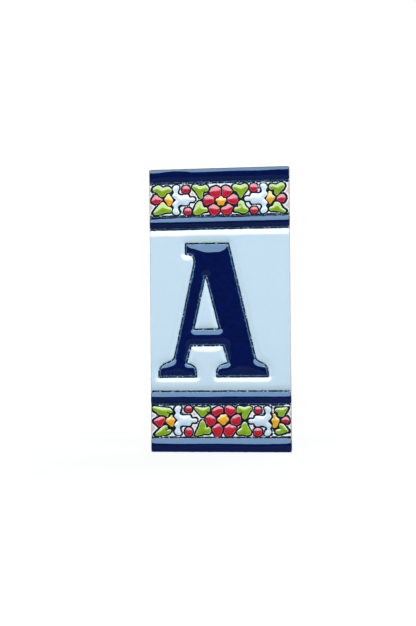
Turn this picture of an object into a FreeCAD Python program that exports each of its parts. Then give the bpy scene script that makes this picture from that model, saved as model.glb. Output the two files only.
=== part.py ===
import FreeCAD, Part
import math
import os

# House letter plaque: a pressed clay tile whose face is printed with dark lines and
# filled between them with raised pools of coloured enamel.
# Frame: X to the right, Z up, the face looks along -Y, and the origin is the middle of
# the back face. All sizes are millimetres.

# Tile body
tile_width = 54.5
tile_height = 110.0
body_thickness = 6.2
corner_radius = 0.5
face_chamfer = 0.35

# Keying grooves pressed into the back
groove_count = 6
groove_width = 3.4
groove_depth = 0.6
groove_pitch = 7.6
groove_end_margin = 8.0

# Bands of the face, measured along Z and the same at the top and the bottom
outer_bar_height = 5.5
inner_bar_height = 4.8
strip_height = 12.1
band_line = 0.5

# Printed dark line
print_thickness = 0.1
line_width = 0.45
smallest_ground_cell = 0.25

# Enamel pools: how far each foot stays back from its line, how high a pool stands over
# the clay, and how far its top draws in
line_gap = 0.1
pool_height = 0.75
pool_draw_in = 0.4
bar_height = 0.9
bar_draw_in = 0.8
panel_height = 0.7
panel_draw_in = 0.5
letter_height_over_clay = 0.9
letter_draw_in = 0.5

# Letter, by the clay left round it: above and below, and to each side out to the tile's edge
letter_margin = 5.15
letter_margin_left = 3.25
letter_margin_right = 8.75
letter_line = 0.44

# Rounded corners are run in short chords: the most that one chord turns, in degrees, on
# the small shapes of the border and on the letter and bars. The smallest radius is what
# a corner keeps after an outline is grown or drawn in, points nearer than same_point are
# one, and a pool's corners are rounder than its walls lean by corner_spare.
border_chord_turn = 32
large_chord_turn = 15
smallest_radius = 0.04
same_point = 1e-4
line_corner = 0.05
corner_spare = 0.2

# The border is drawn in millimetres from the middle of its strip, u to the right and
# v up, for a strip of this width and height, and is stretched to the real strip.
DRAWN_STRIP = (54.5, 12.1)

# Petal: the corners of its outline, all with the same radius
petal_corner = 0.7
TOP_PETALS = (
    ((-0.9, 5.1), (-2.9, 4.5), (-3.9, 2.6), (-1.5, 0.2), (0.8, 1.3), (0.9, 3.9)),
    ((1.2, 4.6), (2.8, 5.2), (4.1, 4.6), (5.6, 2.8), (2.9, 0.3), (1.2, 1.4)),
    ((-4.3, 2.0), (-5.9, 0.9), (-6.0, -1.6), (-4.9, -2.5), (-1.7, -1.3), (-1.8, 0.6)),
    ((3.2, 0.2), (5.7, 2.0), (7.2, 0.9), (7.4, -1.2), (6.3, -2.5), (3.3, -1.3)),
    ((-1.2, -2.3), (-2.2, -1.8), (-4.3, -3.2), (-3.0, -5.9), (-1.3, -6.3), (0.3, -5.0),
     (0.3, -3.4)),
    ((3.5, -1.7), (5.7, -3.1), (4.3, -6.0), (2.1, -6.1), (0.7, -4.3), (1.2, -3.2), (2.7, -2.7)),
)
BOTTOM_PETALS = (
    ((-0.8, 6.0), (-2.6, 5.0), (-3.8, 3.7), (-1.6, 1.2), (-1.1, 2.6), (0.9, 3.2), (1.0, 5.0)),
    ((1.7, 5.6), (2.9, 6.2), (4.2, 5.9), (5.8, 4.9), (5.9, 3.2), (3.8, 1.9), (1.7, 3.2)),
    ((-4.2, 2.8), (-5.9, 1.7), (-5.9, -0.6), (-4.3, -2.1), (-2.6, -1.4), (-1.6, 0.2), (-2.2, 1.4)),
    ((3.7, 0.3), (4.5, 1.8), (6.7, 2.7), (7.9, 1.8), (7.8, -0.7), (6.3, -1.7), (4.1, -1.1)),
    ((-0.6, -0.9), (-1.6, -1.0), (-3.6, -2.7), (-3.1, -4.2), (-1.9, -6.0), (-0.2, -6.2),
     (0.8, -2.9), (0.2, -1.7)),
    ((3.5, -0.8), (4.2, -1.6), (6.0, -1.9), (6.1, -3.2), (4.2, -5.9), (2.2, -5.9), (1.1, -4.2),
     (1.3, -2.4)),
)

# Flower centre: u, v, radius between its lobes, each lobe's reach, and the lobes' angles
TOP_CENTRE = (0.80, -0.90, 1.45, (2.2, 2.0, 2.1, 1.85, 1.85))
TOP_LOBE_ANGLES = (20, 90, 160, 232, 303)
BOTTOM_CENTRE = (0.95, 0.70, 1.75, (2.2, 1.95, 2.3, 2.3, 2.25))
BOTTOM_LOBE_ANGLES = (58, 113, 185, 273, 355)
lobe_end_angle = 30
lobe_corner_ratio = 1.05

# Berry: centre u, v, half width, half height
TOP_BERRIES = (
    (-12.78, 4.00, 1.62, 1.62),
    (-12.10, -4.50, 1.52, 1.50),
    (13.45, 4.05, 1.64, 1.66),
    (13.58, -4.60, 1.55, 1.40),
)
BOTTOM_BERRIES = (
    (-12.50, 4.65, 1.48, 1.34),
    (-12.42, -4.15, 1.54, 1.78),
    (14.35, 4.25, 1.40, 1.45),
    (14.25, -4.22, 1.72, 1.72),
)

# Ivy leaf: the corners of the outline that its rounded lobes and notches are drawn in
TOP_LEAVES = (
    ((-26.5, 3.7), (-24.8, 5.9), (-22.9, 5.9), (-21.9, 4.7), (-20.0, 5.7), (-18.0, 4.2),
     (-18.6, 2.8), (-20.4, 2.9), (-21.1, 1.3), (-23.0, 1.1), (-23.9, 2.9)),
    ((-26.5, -5.7), (-24.6, -3.1), (-21.7, 0.1), (-20.4, -2.4), (-18.1, -2.7), (-18.2, -5.0),
     (-20.9, -4.7), (-22.8, -5.7)),
    ((-11.0, 4.9), (-9.1, 6.3), (-7.1, 4.9), (-5.0, 6.1), (-3.6, 3.8), (-4.6, 2.8),
     (-6.1, 2.9), (-6.2, 0.1), (-7.6, 0.3), (-8.4, 2.5)),
    ((-10.6, -5.9), (-9.5, -3.0), (-8.7, -1.0), (-6.6, -0.3), (-6.0, -3.2), (-4.7, -3.0),
     (-3.9, -4.9), (-6.1, -4.9), (-7.4, -6.1)),
    ((4.9, 4.3), (6.0, 6.0), (8.5, 4.9), (10.1, 6.1), (11.8, 4.5), (10.3, 2.4),
     (9.2, 1.2), (8.6, -0.4), (7.5, 1.2), (6.9, 2.7), (5.9, 2.8)),
    ((8.1, -0.5), (9.9, -1.0), (10.0, -3.0), (11.9, -4.3), (10.8, -5.8), (8.6, -5.9),
     (7.3, -4.9), (5.6, -5.2), (6.1, -3.1), (7.6, -3.1), (7.2, -2.0)),
    ((19.0, 4.4), (20.0, 5.6), (22.0, 4.7), (24.2, 6.2), (25.9, 4.6), (24.3, 2.5),
     (23.1, 1.6), (22.4, 0.2), (21.1, 2.0), (21.4, 2.9), (19.6, 2.9)),
    ((22.1, -1.4), (23.7, -2.0), (23.9, -3.6), (26.3, -5.4), (24.9, -6.1), (22.2, -5.0),
     (19.6, -5.3), (18.9, -3.6), (20.9, -3.2), (21.0, -1.9)),
)
BOTTOM_LEAVES = (
    ((-26.7, 6.1), (-26.4, 4.0), (-24.9, 3.5), (-24.3, 2.3), (-21.9, 2.4), (-20.4, 0.9),
     (-20.3, 3.0), (-18.2, 3.2), (-19.4, 5.2), (-22.8, 5.3)),
    ((-26.5, -5.7), (-24.3, -3.4), (-22.0, -1.4), (-20.2, -1.8), (-21.1, -3.4),
     (-18.6, -2.9), (-19.9, -5.0), (-23.4, -5.9)),
    ((-10.6, 5.6), (-9.7, 4.0), (-8.2, 2.9), (-7.0, 0.9), (-5.6, 2.8), (-3.9, 4.0),
     (-4.2, 6.1), (-6.4, 5.1), (-8.2, 5.6)),
    ((-7.1, 0.7), (-8.3, -0.5), (-8.4, -2.0), (-9.5, -3.7), (-10.4, -6.0), (-8.2, -5.6),
     (-6.5, -4.8), (-4.3, -5.2), (-3.4, -3.6), (-4.6, -2.0), (-5.6, -2.4), (-5.8, -0.6)),
    ((6.0, 4.7), (6.8, 6.2), (8.9, 5.3), (11.2, 6.1), (12.5, 4.9), (10.6, 2.9),
     (10.2, 1.0), (9.1, 0.4), (8.0, 1.9), (8.2, 3.1), (6.2, 3.0)),
    ((9.1, 0.1), (10.2, -0.7), (10.6, -2.5), (12.2, -4.5), (10.6, -5.9), (8.7, -5.0),
     (6.7, -5.4), (5.8, -4.1), (7.9, -2.4), (8.0, -1.1)),
    ((20.3, 4.1), (21.5, 5.3), (23.6, 5.0), (26.4, 5.8), (24.9, 3.0), (23.9, 1.3),
     (21.7, 2.1), (22.2, 3.1)),
    ((22.4, -0.8), (24.4, -1.0), (25.2, -2.7), (26.6, -4.0), (24.0, -4.5), (22.2, -5.5),
     (20.0, -3.5), (22.9, -2.8), (22.3, -1.8)),
)

# Four-pointed yellow flower, drawn the same way as the leaves
TOP_YELLOWS = (
    ((-19.4, 3.3), (-18.8, 1.2), (-17.4, -0.2), (-18.5, -1.5), (-18.8, -2.4), (-20.0, -2.4),
     (-20.3, -0.9), (-21.8, 0.2), (-20.5, 1.5)),
    ((19.1, 2.8), (20.4, 2.5), (20.6, 0.9), (22.2, 0.3), (20.7, -1.4), (19.5, -3.1),
     (19.0, -1.4), (17.9, -0.6), (18.9, 0.9)),
)
BOTTOM_YELLOWS = (
    ((-18.9, 3.1), (-18.4, 1.2), (-17.4, 0.4), (-18.4, -0.8), (-18.2, -2.2), (-19.4, -2.4),
     (-20.4, -1.3), (-21.8, -0.1), (-21.1, 1.1), (-19.8, 1.6)),
    ((19.7, 3.1), (21.1, 2.9), (21.5, 1.3), (22.9, 0.7), (22.2, -1.2), (21.3, -2.8),
     (19.7, -2.6), (20.1, -0.9), (19.2, 0.4), (20.2, 1.2)),
)

# Bud at each end of the strip
TOP_BUDS = (
    ((-26.7, -0.2), (-24.7, 2.8), (-23.2, 1.0), (-21.4, 0.2), (-22.8, -0.8), (-24.2, -1.6),
     (-25.5, -1.3)),
    ((21.8, -0.6), (23.2, 1.1), (24.8, 1.6), (26.2, -0.2), (24.6, -2.2), (23.2, -1.6)),
)
BOTTOM_BUDS = (
    ((-26.7, 0.0), (-24.9, 1.1), (-23.3, 2.1), (-21.1, 1.2), (-22.2, -0.7), (-23.5, -2.8),
     (-25.2, -1.1)),
    ((22.8, 0.1), (24.0, 1.4), (25.3, 2.0), (26.6, 0.5), (25.9, -1.1), (24.3, -0.8)),
)

# Blossom: knob end u, axis v, and which way it grows from there (1 is to the right).
# Its half outline gives the distance along the axis and out from it.
TOP_BLOSSOMS = ((-9.2, -0.05, -1), (9.8, -0.2, 1))
BOTTOM_BLOSSOMS = ((-9.1, 0.25, -1), (10.6, 0.0, 1))
BLOSSOM_HALF = (
    (0.0, 1.0), (2.3, 0.75), (2.5, 2.0), (3.9, 2.2), (5.7, 1.8), (6.9, 2.5), (6.6, 3.8),
    (5.9, 5.1), (6.9, 5.9), (8.3, 5.7), (9.2, 4.1), (8.1, 2.9), (9.2, 1.9), (8.7, 0.9),
    (7.3, 0.0),
)

# Letter A with a flag at its top left and bracketed feet. Each corner is a share of the
# letter's width and one of its height, from its left foot's corner, and its radius is a
# share of the height.
LETTER_SHARES = (
    (0.254, 1, 0.003), (0.254, 0.919, 0.003), (0.3297, 0.908, 0.042),
    (0.3297, 0.846, 0.1), (0.1404, 0.132, 0.04), (0, 0.083, 0.076),
    (0, 0, 0.003), (0.3492, 0, 0.003), (0.3492, 0.085, 0.068),
    (0.2564, 0.106, 0.008), (0.2991, 0.234, 0.004), (0.591, 0.234, 0.004),
    (0.6349, 0.108, 0.008), (0.5299, 0.085, 0.068), (0.5299, 0, 0.003),
    (1, 0, 0.003), (1, 0.082, 0.076), (0.8901, 0.127, 0.04),
    (0.6496, 0.997, 0.003),
)
COUNTER_SHARES = (
    (0.4359, 0.759, 0.003), (0.3272, 0.359, 0.003), (0.5568, 0.359, 0.003),
)


def ring_points(corners, grow, chord_turn):
    """Points of a closed outline through the given corners, each rounded by an arc.

    A corner without a radius gets the largest arc that keeps to half of its sides.
    The outline is moved outwards by grow with the arcs' centres where they were, as
    far as the moved sides leave room. The number of points is the same for every grow."""
    area = sum(a[0] * b[1] - b[0] * a[1] for a, b in zip(corners, corners[1:] + corners[:1]))
    if area < 0:
        corners = corners[::-1]
    sides = [side(a, b) for a, b in zip(corners, corners[1:] + corners[:1])]
    moved = []
    for i, corner in enumerate(corners):
        ax, az = sides[i - 1][:2]
        bx, bz = sides[i][:2]
        shift = grow / (1 + ax * bx + az * bz)
        moved.append((corner[0] + (az + bz) * shift, corner[1] - (ax + bx) * shift))
    room = [side(a, b)[2] for a, b in zip(moved, moved[1:] + moved[:1])]
    points = []
    for i, corner in enumerate(corners):
        ax, az, before = sides[i - 1]
        bx, bz, after = sides[i]
        turn = math.atan2(ax * bz - az * bx, ax * bx + az * bz)
        way = math.copysign(1, turn)
        half = math.tan(abs(turn) / 2)
        if len(corner) > 2:
            radius = corner[2] + way * grow
        else:
            radius = min(before, after) / 2 / half + way * grow
            radius = min(radius, min(room[i - 1], room[i]) / 2 / half)
        radius = max(radius, smallest_radius)
        start_x = moved[i][0] - ax * radius * half
        start_z = moved[i][1] - az * radius * half
        chords = math.ceil(math.degrees(abs(turn)) / chord_turn)
        for k in range(chords + 1):
            angle = abs(turn) * k / chords
            along = radius * math.sin(angle)
            aside = way * radius * (1 - math.cos(angle))
            points.append((start_x + ax * along - az * aside, start_z + az * along + ax * aside))
    return points


def side(a, b):
    """Direction and length of the side from a to b."""
    length = math.hypot(b[0] - a[0], b[1] - a[1])
    return (b[0] - a[0]) / length, (b[1] - a[1]) / length, length


def ring_wire(points, y):
    """Closed wire in the plane at y, without points that fall together."""
    corners = [FreeCAD.Vector(x, y, z) for x, z in points]
    return Part.makePolygon(distinct(corners) + distinct(corners)[:1])


def distinct(corners):
    following = corners[1:] + corners[:1]
    return [p for p, q in zip(corners, following) if p.distanceToPoint(q) > same_point]


def tapered(corners, grow, y_foot, y_top, draw_in, chord_turn=large_chord_turn):
    """Solid between an outline at y_foot and the same outline drawn in at y_top."""
    foot = ring_points(corners, grow, chord_turn)
    top = ring_points(corners, grow - draw_in, chord_turn)
    faces = [Part.Face(ring_wire(foot, y_foot)), Part.Face(ring_wire(top, y_top))]
    low = [FreeCAD.Vector(x, y_foot, z) for x, z in foot]
    high = [FreeCAD.Vector(x, y_top, z) for x, z in top]
    for i in range(len(low)):
        wall = distinct([low[i - 1], low[i], high[i], high[i - 1]])
        if len(wall) > 2:
            faces.append(Part.Face(Part.makePolygon(wall + wall[:1])))
    return Part.Solid(Part.Shell(faces))


def flat_field(corners, grow, chord_turn=large_chord_turn):
    """Flat face on the front of the clay."""
    return Part.Face(ring_wire(ring_points(corners, grow, chord_turn), y_face))


def plate(corners, grow, y_back, thickness):
    """Flat plate that stands out from y_back towards the front."""
    face = Part.Face(ring_wire(ring_points(corners, grow, large_chord_turn), y_back))
    return face.extrude(FreeCAD.Vector(0, -thickness, 0))


def rectangle(half_width, z_low, z_high, radius):
    return (
        (-half_width, z_low, radius),
        (half_width, z_low, radius),
        (half_width, z_high, radius),
        (-half_width, z_high, radius),
    )


# Face levels
y_face = -body_thickness
y_print = y_face - print_thickness

# Flat part of the face, inside its chamfer
flat_half_width = tile_width / 2 - face_chamfer
flat_half_height = tile_height / 2 - face_chamfer

# Heights of the band edges above the middle of the tile, for the top half
strip_top = tile_height / 2 - outer_bar_height - band_line
strip_bottom = strip_top - strip_height
inner_bar_top = strip_bottom - band_line
inner_bar_bottom = inner_bar_top - inner_bar_height
panel_half = inner_bar_bottom - band_line
strip_middle = (strip_top + strip_bottom) / 2


def on_strip(corners, z_middle):
    """Border corners moved from the drawing to the strip at z_middle."""
    across = tile_width / DRAWN_STRIP[0]
    up = strip_height / DRAWN_STRIP[1]
    return tuple((c[0] * across, z_middle + c[1] * up) + tuple(c[2:]) for c in corners)


def flower_centre(u, v, waist, reaches, angles):
    """Lobed star: each lobe has two corners at its end, each notch has one."""
    half_end = lobe_end_angle / 2
    corners = []
    for reach, angle, following in zip(reaches, angles, angles[1:] + (angles[0] + 360,)):
        end = reach * lobe_corner_ratio
        notch = (angle + following) / 2
        for turn, radius in ((angle - half_end, end), (angle + half_end, end), (notch, waist)):
            t = math.radians(turn)
            corners.append((u + radius * math.cos(t), v + radius * math.sin(t)))
    return tuple(corners)


def berry(u, v, half_width, half_height):
    """Eight corners round an oval, far enough out for the arcs to touch it."""
    out = 1 / math.cos(math.pi / 8)
    angles = [math.pi / 8 + i * math.pi / 4 for i in range(8)]
    return tuple((u + half_width * out * math.cos(t), v + half_height * out * math.sin(t)) for t in angles)


def blossom(u, v, side):
    half = BLOSSOM_HALF
    corners = [(u + side * a, v + b) for a, b in half]
    corners += [(u + side * a, v - b) for a, b in half[-2::-1]]
    return tuple(corners)


def border_outlines(petals, centre, angles, leaves, berries, yellows, buds, blossoms, z_middle):
    """Outlines of one strip by kind, on the tile."""
    drawn = {
        "petals": [[corner + (petal_corner,) for corner in outline] for outline in petals],
        "flower_centres": [flower_centre(*centre, angles)],
        "leaves": leaves,
        "berries": [berry(*b) for b in berries],
        "yellow_flowers": yellows,
        "buds": buds,
        "blossoms": [blossom(*b) for b in blossoms],
    }
    return {kind: [on_strip(c, z_middle) for c in shapes] for kind, shapes in drawn.items()}


def letter_outline(shares):
    """Letter corners spread over the letter's width and height on the panel."""
    left = letter_margin_left - tile_width / 2
    width = tile_width - letter_margin_left - letter_margin_right
    foot = letter_margin - panel_half
    height = 2 * (panel_half - letter_margin)
    return tuple((left + x * width, foot + z * height, r * height) for x, z, r in shares)


def tile_body():
    half_w = tile_width / 2
    half_h = tile_height / 2
    outline = rectangle(half_w, -half_h, half_h, corner_radius)
    y_chamfer = y_face + face_chamfer
    body = plate(outline, 0, 0, -y_chamfer)
    body = body.fuse(tapered(outline, 0, y_chamfer, y_face, face_chamfer)).removeSplitter()
    length = tile_height - 2 * groove_end_margin
    grooves = []
    for i in range(groove_count):
        x = (i - (groove_count - 1) / 2) * groove_pitch
        corner = FreeCAD.Vector(x - groove_width / 2, -groove_depth, -length / 2)
        grooves.append(Part.makeBox(groove_width, groove_depth, length, corner))
    return body.cut(grooves)


def strip_print(outlines, z_middle):
    """Dark print of one strip: every outline grown by the line, and a line at each edge."""
    half = strip_height / 2
    faces = []
    for shapes in outlines.values():
        faces += [flat_field(c, line_width, border_chord_turn) for c in shapes]
    lines = [
        rectangle(flat_half_width, z_middle + half, z_middle + half + band_line, line_corner),
        rectangle(flat_half_width, z_middle - half - band_line, z_middle - half, line_corner),
    ]
    faces += [flat_field(c, 0) for c in lines]
    field = faces[0].multiFuse(faces[1:]).removeSplitter()
    reach = half + band_line
    limit = rectangle(flat_half_width, z_middle - reach, z_middle + reach, line_corner)
    field = field.common(flat_field(limit, 0))
    solids = []
    for face in field.Faces:
        cells = [w for w in face.Wires if not w.isSame(face.OuterWire)]
        kept = [w for w in cells if Part.Face(w).Area > smallest_ground_cell]
        whole = Part.Face([face.OuterWire] + kept)
        solids.append(whole.extrude(FreeCAD.Vector(0, -print_thickness, 0)))
    return solids


def letter_print():
    """Dark print under the letter, open in the middle of its counter."""
    half_line = letter_line / 2
    field = plate(letter_outline(LETTER_SHARES), half_line, y_face, print_thickness)
    return field.cut(plate(letter_outline(COUNTER_SHARES), -half_line, y_face, print_thickness))


def pool(corners):
    """One enamel pool of the border, standing on the print."""
    y_top = y_face - pool_height
    return tapered(corners, -line_gap, y_print, y_top, pool_draw_in, border_chord_turn)


def band_lines():
    """Printed lines between the inner bars and the panel."""
    lines = []
    for side in (1, -1):
        low, high = sorted((side * panel_half, side * inner_bar_bottom))
        outline = rectangle(flat_half_width, low, high, line_corner)
        lines.append(plate(outline, 0, y_face, print_thickness))
    return lines


def bars():
    """The four navy bars, each from its band line to the next or to the tile's edge."""
    solids = []
    for side in (1, -1):
        for inner, outer in ((strip_top + band_line, flat_half_height), (inner_bar_bottom, inner_bar_top)):
            low, high = sorted((side * inner, side * outer))
            outline = rectangle(flat_half_width, low, high, bar_draw_in + corner_spare)
            solids.append(tapered(outline, 0, y_face, y_face - bar_height, bar_draw_in))
    return solids


def panel():
    """Pale panel with the letter's opening, and the counter's own pool inside the letter."""
    y_top = y_face - panel_height
    outline = rectangle(flat_half_width, -panel_half, panel_half, panel_draw_in + corner_spare)
    field = tapered(outline, 0, y_face, y_top, panel_draw_in)
    half_line = letter_line / 2
    opening = tapered(letter_outline(LETTER_SHARES), half_line, y_face, y_top, -panel_draw_in)
    counter = tapered(letter_outline(COUNTER_SHARES), -half_line, y_face, y_top, panel_draw_in)
    return [field.cut(opening), counter]


def letter():
    """Navy letter, standing on its print with its counter open."""
    y_top = y_face - letter_height_over_clay
    back = letter_line / 2 + line_gap
    body = tapered(letter_outline(LETTER_SHARES), -back, y_print, y_top, letter_draw_in)
    counter = tapered(letter_outline(COUNTER_SHARES), back, y_print, y_top, -letter_draw_in)
    return [body.cut(counter)]


strips = {
    strip_middle: (
        TOP_PETALS, TOP_CENTRE, TOP_LOBE_ANGLES, TOP_LEAVES, TOP_BERRIES, TOP_YELLOWS,
        TOP_BUDS, TOP_BLOSSOMS,
    ),
    -strip_middle: (
        BOTTOM_PETALS, BOTTOM_CENTRE, BOTTOM_LOBE_ANGLES, BOTTOM_LEAVES, BOTTOM_BERRIES,
        BOTTOM_YELLOWS, BOTTOM_BUDS, BOTTOM_BLOSSOMS,
    ),
}
nodes = {
    "tile_body": [tile_body()],
    "navy_bars": bars(),
    "panel_enamel": panel(),
    "letter_enamel": letter(),
    "outline_print": [letter_print()] + band_lines(),
}
for z_middle, drawing in strips.items():
    outlines = border_outlines(*drawing, z_middle)
    nodes["outline_print"] += strip_print(outlines, z_middle)
    for kind, shapes in outlines.items():
        nodes[kind] = nodes.get(kind, []) + [pool(c) for c in shapes]

os.makedirs("parts", exist_ok=True)
for name, solids in nodes.items():
    shape = solids[0] if len(solids) == 1 else Part.makeCompound(solids)
    shape.exportStep("parts/" + name + ".step")
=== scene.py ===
import math
from collections import Counter
from functools import lru_cache
from typing import NamedTuple
import bpy
import numpy as np
from mathutils import Matrix, Vector, noise
from mathutils.bvhtree import BVHTree
from mathutils.geometry import delaunay_2d_cdt


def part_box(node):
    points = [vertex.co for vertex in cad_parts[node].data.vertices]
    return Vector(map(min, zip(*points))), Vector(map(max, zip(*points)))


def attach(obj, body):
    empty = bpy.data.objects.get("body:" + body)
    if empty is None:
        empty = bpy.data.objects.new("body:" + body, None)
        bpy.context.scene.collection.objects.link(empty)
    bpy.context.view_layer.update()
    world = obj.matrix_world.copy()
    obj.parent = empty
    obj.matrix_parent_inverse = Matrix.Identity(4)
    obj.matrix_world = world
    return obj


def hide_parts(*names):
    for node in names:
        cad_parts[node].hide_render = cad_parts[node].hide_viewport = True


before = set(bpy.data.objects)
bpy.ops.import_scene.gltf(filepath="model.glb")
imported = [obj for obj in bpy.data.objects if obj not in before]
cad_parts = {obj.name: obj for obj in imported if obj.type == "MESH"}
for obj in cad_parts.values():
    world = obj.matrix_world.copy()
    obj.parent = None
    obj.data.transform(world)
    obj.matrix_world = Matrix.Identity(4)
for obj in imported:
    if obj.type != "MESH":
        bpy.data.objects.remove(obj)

bl_info = {
    "name": "House Letter Tile",
    "version": (1, 0, 0),
    "blender": (4, 2, 0),
    "location": "View3D > Sidebar > Letter Tile",
    "description": "Builds an enamelled house letter tile on its CAD frame, with its stage",
    "category": "Add Mesh",
}

MM = 0.001

# Enamel of the border: CAD node, record slot, width of the thin fringe in mm
BORDER_ENAMELS = (
    ("petals", "red_enamel", 0.16),
    ("berries", "red_enamel", 0.16),
    ("buds", "red_enamel", 0.16),
    ("leaves", "green_enamel", 0.26),
    ("flower_centres", "yellow_enamel", 0.2),
    ("yellow_flowers", "yellow_enamel", 0.2),
    ("blossoms", "white_blue_enamel", 0.3),
)

# Chamfer round the clay's face, in mm, as in the CAD body
CHAMFER = 0.35

# Points measured against the outlines at a time
CHUNK = 160

# Distances of the rings of points beside an outline, in mm
WIDE_STEPS = (0.05, 0.12, 0.22, 0.35, 0.5, 0.7, 0.95, 1.25, 1.6, 2.0)
BROAD_STEPS = WIDE_STEPS + (2.5, 3.1)
SMALL_STEPS = (0.05, 0.12, 0.22, 0.36, 0.55)
BACK_STEPS = (0.06, 0.15, 0.3, 0.5, 0.75)
PRINT_STEPS = (0.07, 0.14, 0.22)

# Clay body: spacing of its points in mm, rows of points up its sides, and seeds of its waver
OUTLINE_SPACING = 0.5
BACK_SPACING = 0.42
SIDE_ROWS = 12
SIDE_SEED = 61.0
PIT_SEED = 62.0
BACK_SEED = 63.0

# Print, in mm: spacing and softness along a line, spacing over the bare clay, how far a line
# runs under the glaze at its outer side, and the strip's margin that is printed with it
LINE_SPACING = 0.15
LINE_SOFTNESS = 0.06
GROUND_SPACING = 0.3
LINE_UNDERLAP = 0.3
PRINT_MARGIN = 0.2
PRINT_SEED = 31.0


class Pour(NamedTuple):
    """How the pools of one CAD node are poured; lengths in mm.

    The surface rises over the width roll with the power crown, to a share rise of the
    solid's height. The outline moves out by grow, and its points and those inside it have
    the two spacings. The glaze is thin, and paler, over the width fringe along its edge;
    on the wide panel this paler fringe is also painted light that lifts the shade at its edge."""
    slot: str
    seed: float
    roll: float
    crown: float
    grow: float
    spacing: tuple
    steps: tuple
    mottle: float
    fringe: float
    rise: float = 1.0
    roughness: float = 0.02


POURS = {
    "navy_bars": Pour("navy_enamel", seed=3.1, roll=2.4, crown=1.3, grow=-0.05,
                      spacing=(0.25, 0.4), steps=WIDE_STEPS, mottle=2.3, fringe=0.18),
    # The panel's wide paler fringe is partly thin glaze and partly painted light, lifting the shade where
    # its dome falls away from the key
    "panel_enamel": Pour("pale_blue_enamel", seed=5.7, roll=2.3, crown=1.5, grow=-0.04,
                         spacing=(0.25, 0.6), steps=BROAD_STEPS, mottle=0.08, fringe=1.8),
    "letter_enamel": Pour("navy_enamel", seed=8.4, roll=3.6, crown=1.5, grow=-0.04,
                          spacing=(0.2, 0.45), steps=BROAD_STEPS, mottle=2.3, fringe=0.36),
}
for number, (node_name, slot_name, fringe_width) in enumerate(BORDER_ENAMELS):
    POURS[node_name] = Pour(slot_name, seed=11.3 + 4.9 * number, roll=2.0, crown=1.2, grow=0.0,
                            spacing=(0.15, 0.24), steps=SMALL_STEPS, mottle=0.3,
                            fringe=fringe_width, rise=0.62, roughness=0.16)

# Enamel by record slot: how ragged its thin fringe is, in mm, and the tint of its reflections, a painted
# colour of its highlights that stands in for the colour of the light
ENAMELS = {
    "navy_enamel": (1.1, (0.46, 0.72, 1.0)),
    "pale_blue_enamel": (0.3, (0.85, 0.62, 0.45)),
    "white_blue_enamel": (0.5, (0.85, 0.7, 0.6)),
    "red_enamel": (0.5, (0.85, 0.9, 1)),
    "green_enamel": (0.7, (1, 0.9, 0.85)),
    "yellow_enamel": (0.5, (1, 1, 1)),
}

# Lamps: elevation and azimuth in degrees, distance in m, and half the angles that they fill
LAMPS = {
    "key": ((40, 6), 1.6, (50, 22)),
    "fill": ((3, 0), 1.3, (24, 11)),
    "behind": ((33, 165), 1.0, (45, 22)),
}

# Free strokes of the border, each as points (x from the middle, z from the foot), in mm:
# dark stems at the leaves' notches
STEMS = (
    ((-4.2, 100.4), (-5.9, 100.9)),
    ((6.0, 100.2), (6.9, 100.7)),
    ((-4.5, 95.4), (-5.9, 94.9)),
    ((6.5, 95.6), (7.4, 94.6)),
    ((20.4, 100.9), (21.4, 100.8)),
    ((-19.5, 15.0), (-20.8, 15.4)),
    ((-20.2, 9.2), (-21.5, 8.4)),
    ((-4.2, 15.0), (-5.6, 15.7)),
    ((-4.6, 10.1), (-5.7, 9.5)),
    ((6.5, 15.0), (8.5, 15.3)),
    ((7.0, 10.1), (8.0, 9.5)),
    ((22.0, 9.7), (23.0, 9.1)),
)
# dark scrolls beside the berries
SCROLLS = (
    ((-14.0, 99.6), (-15.3, 100.2), (-15.7, 101.1), (-14.9, 102.3)),
    ((-12.5, 95.6), (-14.3, 95.5), (-15.3, 94.7), (-14.8, 93.6), (-14.1, 92.6)),
    ((15.0, 99.8), (15.8, 100.4), (16.0, 101.4), (15.6, 102.5)),
    ((14.2, 95.6), (15.5, 95.4), (16.5, 94.7), (16.2, 93.8), (15.5, 93.0)),
    ((-15.2, 17.2), (-15.5, 16.1), (-15.0, 15.2), (-14.0, 15.1)),
    ((-12.5, 10.1), (-14.3, 10.1), (-15.5, 9.0), (-15.4, 8.0), (-14.9, 7.3)),
    ((16.6, 16.8), (17.1, 15.9), (16.6, 15.0), (15.6, 14.8)),
    ((14.6, 10.0), (16.3, 10.1), (17.7, 9.2), (17.2, 8.4)),
)
# middles of the pale slivers inside the scrolls
SLIVERS = (
    (-14.9, 100.9), (-14.4, 94.4), (15.2, 101.2), (15.5, 94.4),
    (-14.7, 16.0), (-14.9, 9.2), (16.4, 15.8), (16.7, 9.1),
)
SLIVER_WIDTH = 0.45

# How high the strokes and the slivers stand over what they lie on, in mm
STROKE_LIFT = 0.07
SLIVER_LIFT = 0.08


# Outlines


def signed_area(loop):
    """Area within a loop, below zero where it runs clockwise."""
    x, z = loop[:, 0], loop[:, 1]
    return 0.5 * float(np.sum(x * np.roll(z, -1) - np.roll(x, -1) * z))


def foot_loops(node):
    """Closed outlines of a CAD node's faces at its foot, in mm, as (x, z) arrays."""
    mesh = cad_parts[node].data
    corners = [tuple(round(c / MM, 4) for c in v.co) for v in mesh.vertices]
    foot = max(c[1] for c in corners)
    following = {}
    edges = Counter()
    for face in mesh.polygons:
        ring = [corners[i] for i in face.vertices]
        if all(abs(c[1] - foot) < 0.002 for c in ring):
            edges.update((a, b) for a, b in zip(ring, ring[1:] + ring[:1]) if a != b)
    for (a, b), times in sorted(edges.items()):
        if times > edges[(b, a)]:
            following.setdefault(a, []).extend([b] * (times - edges[(b, a)]))
    loops = []
    while following:
        start = min(following)
        loop = [start]
        while True:
            ways = following[loop[-1]]
            step = ways.pop()
            if not ways:
                del following[loop[-1]]
            if step == start:
                break
            loop.append(step)
        loops.append(np.array([(c[0], c[2]) for c in loop]))
    return loops, foot


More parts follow.
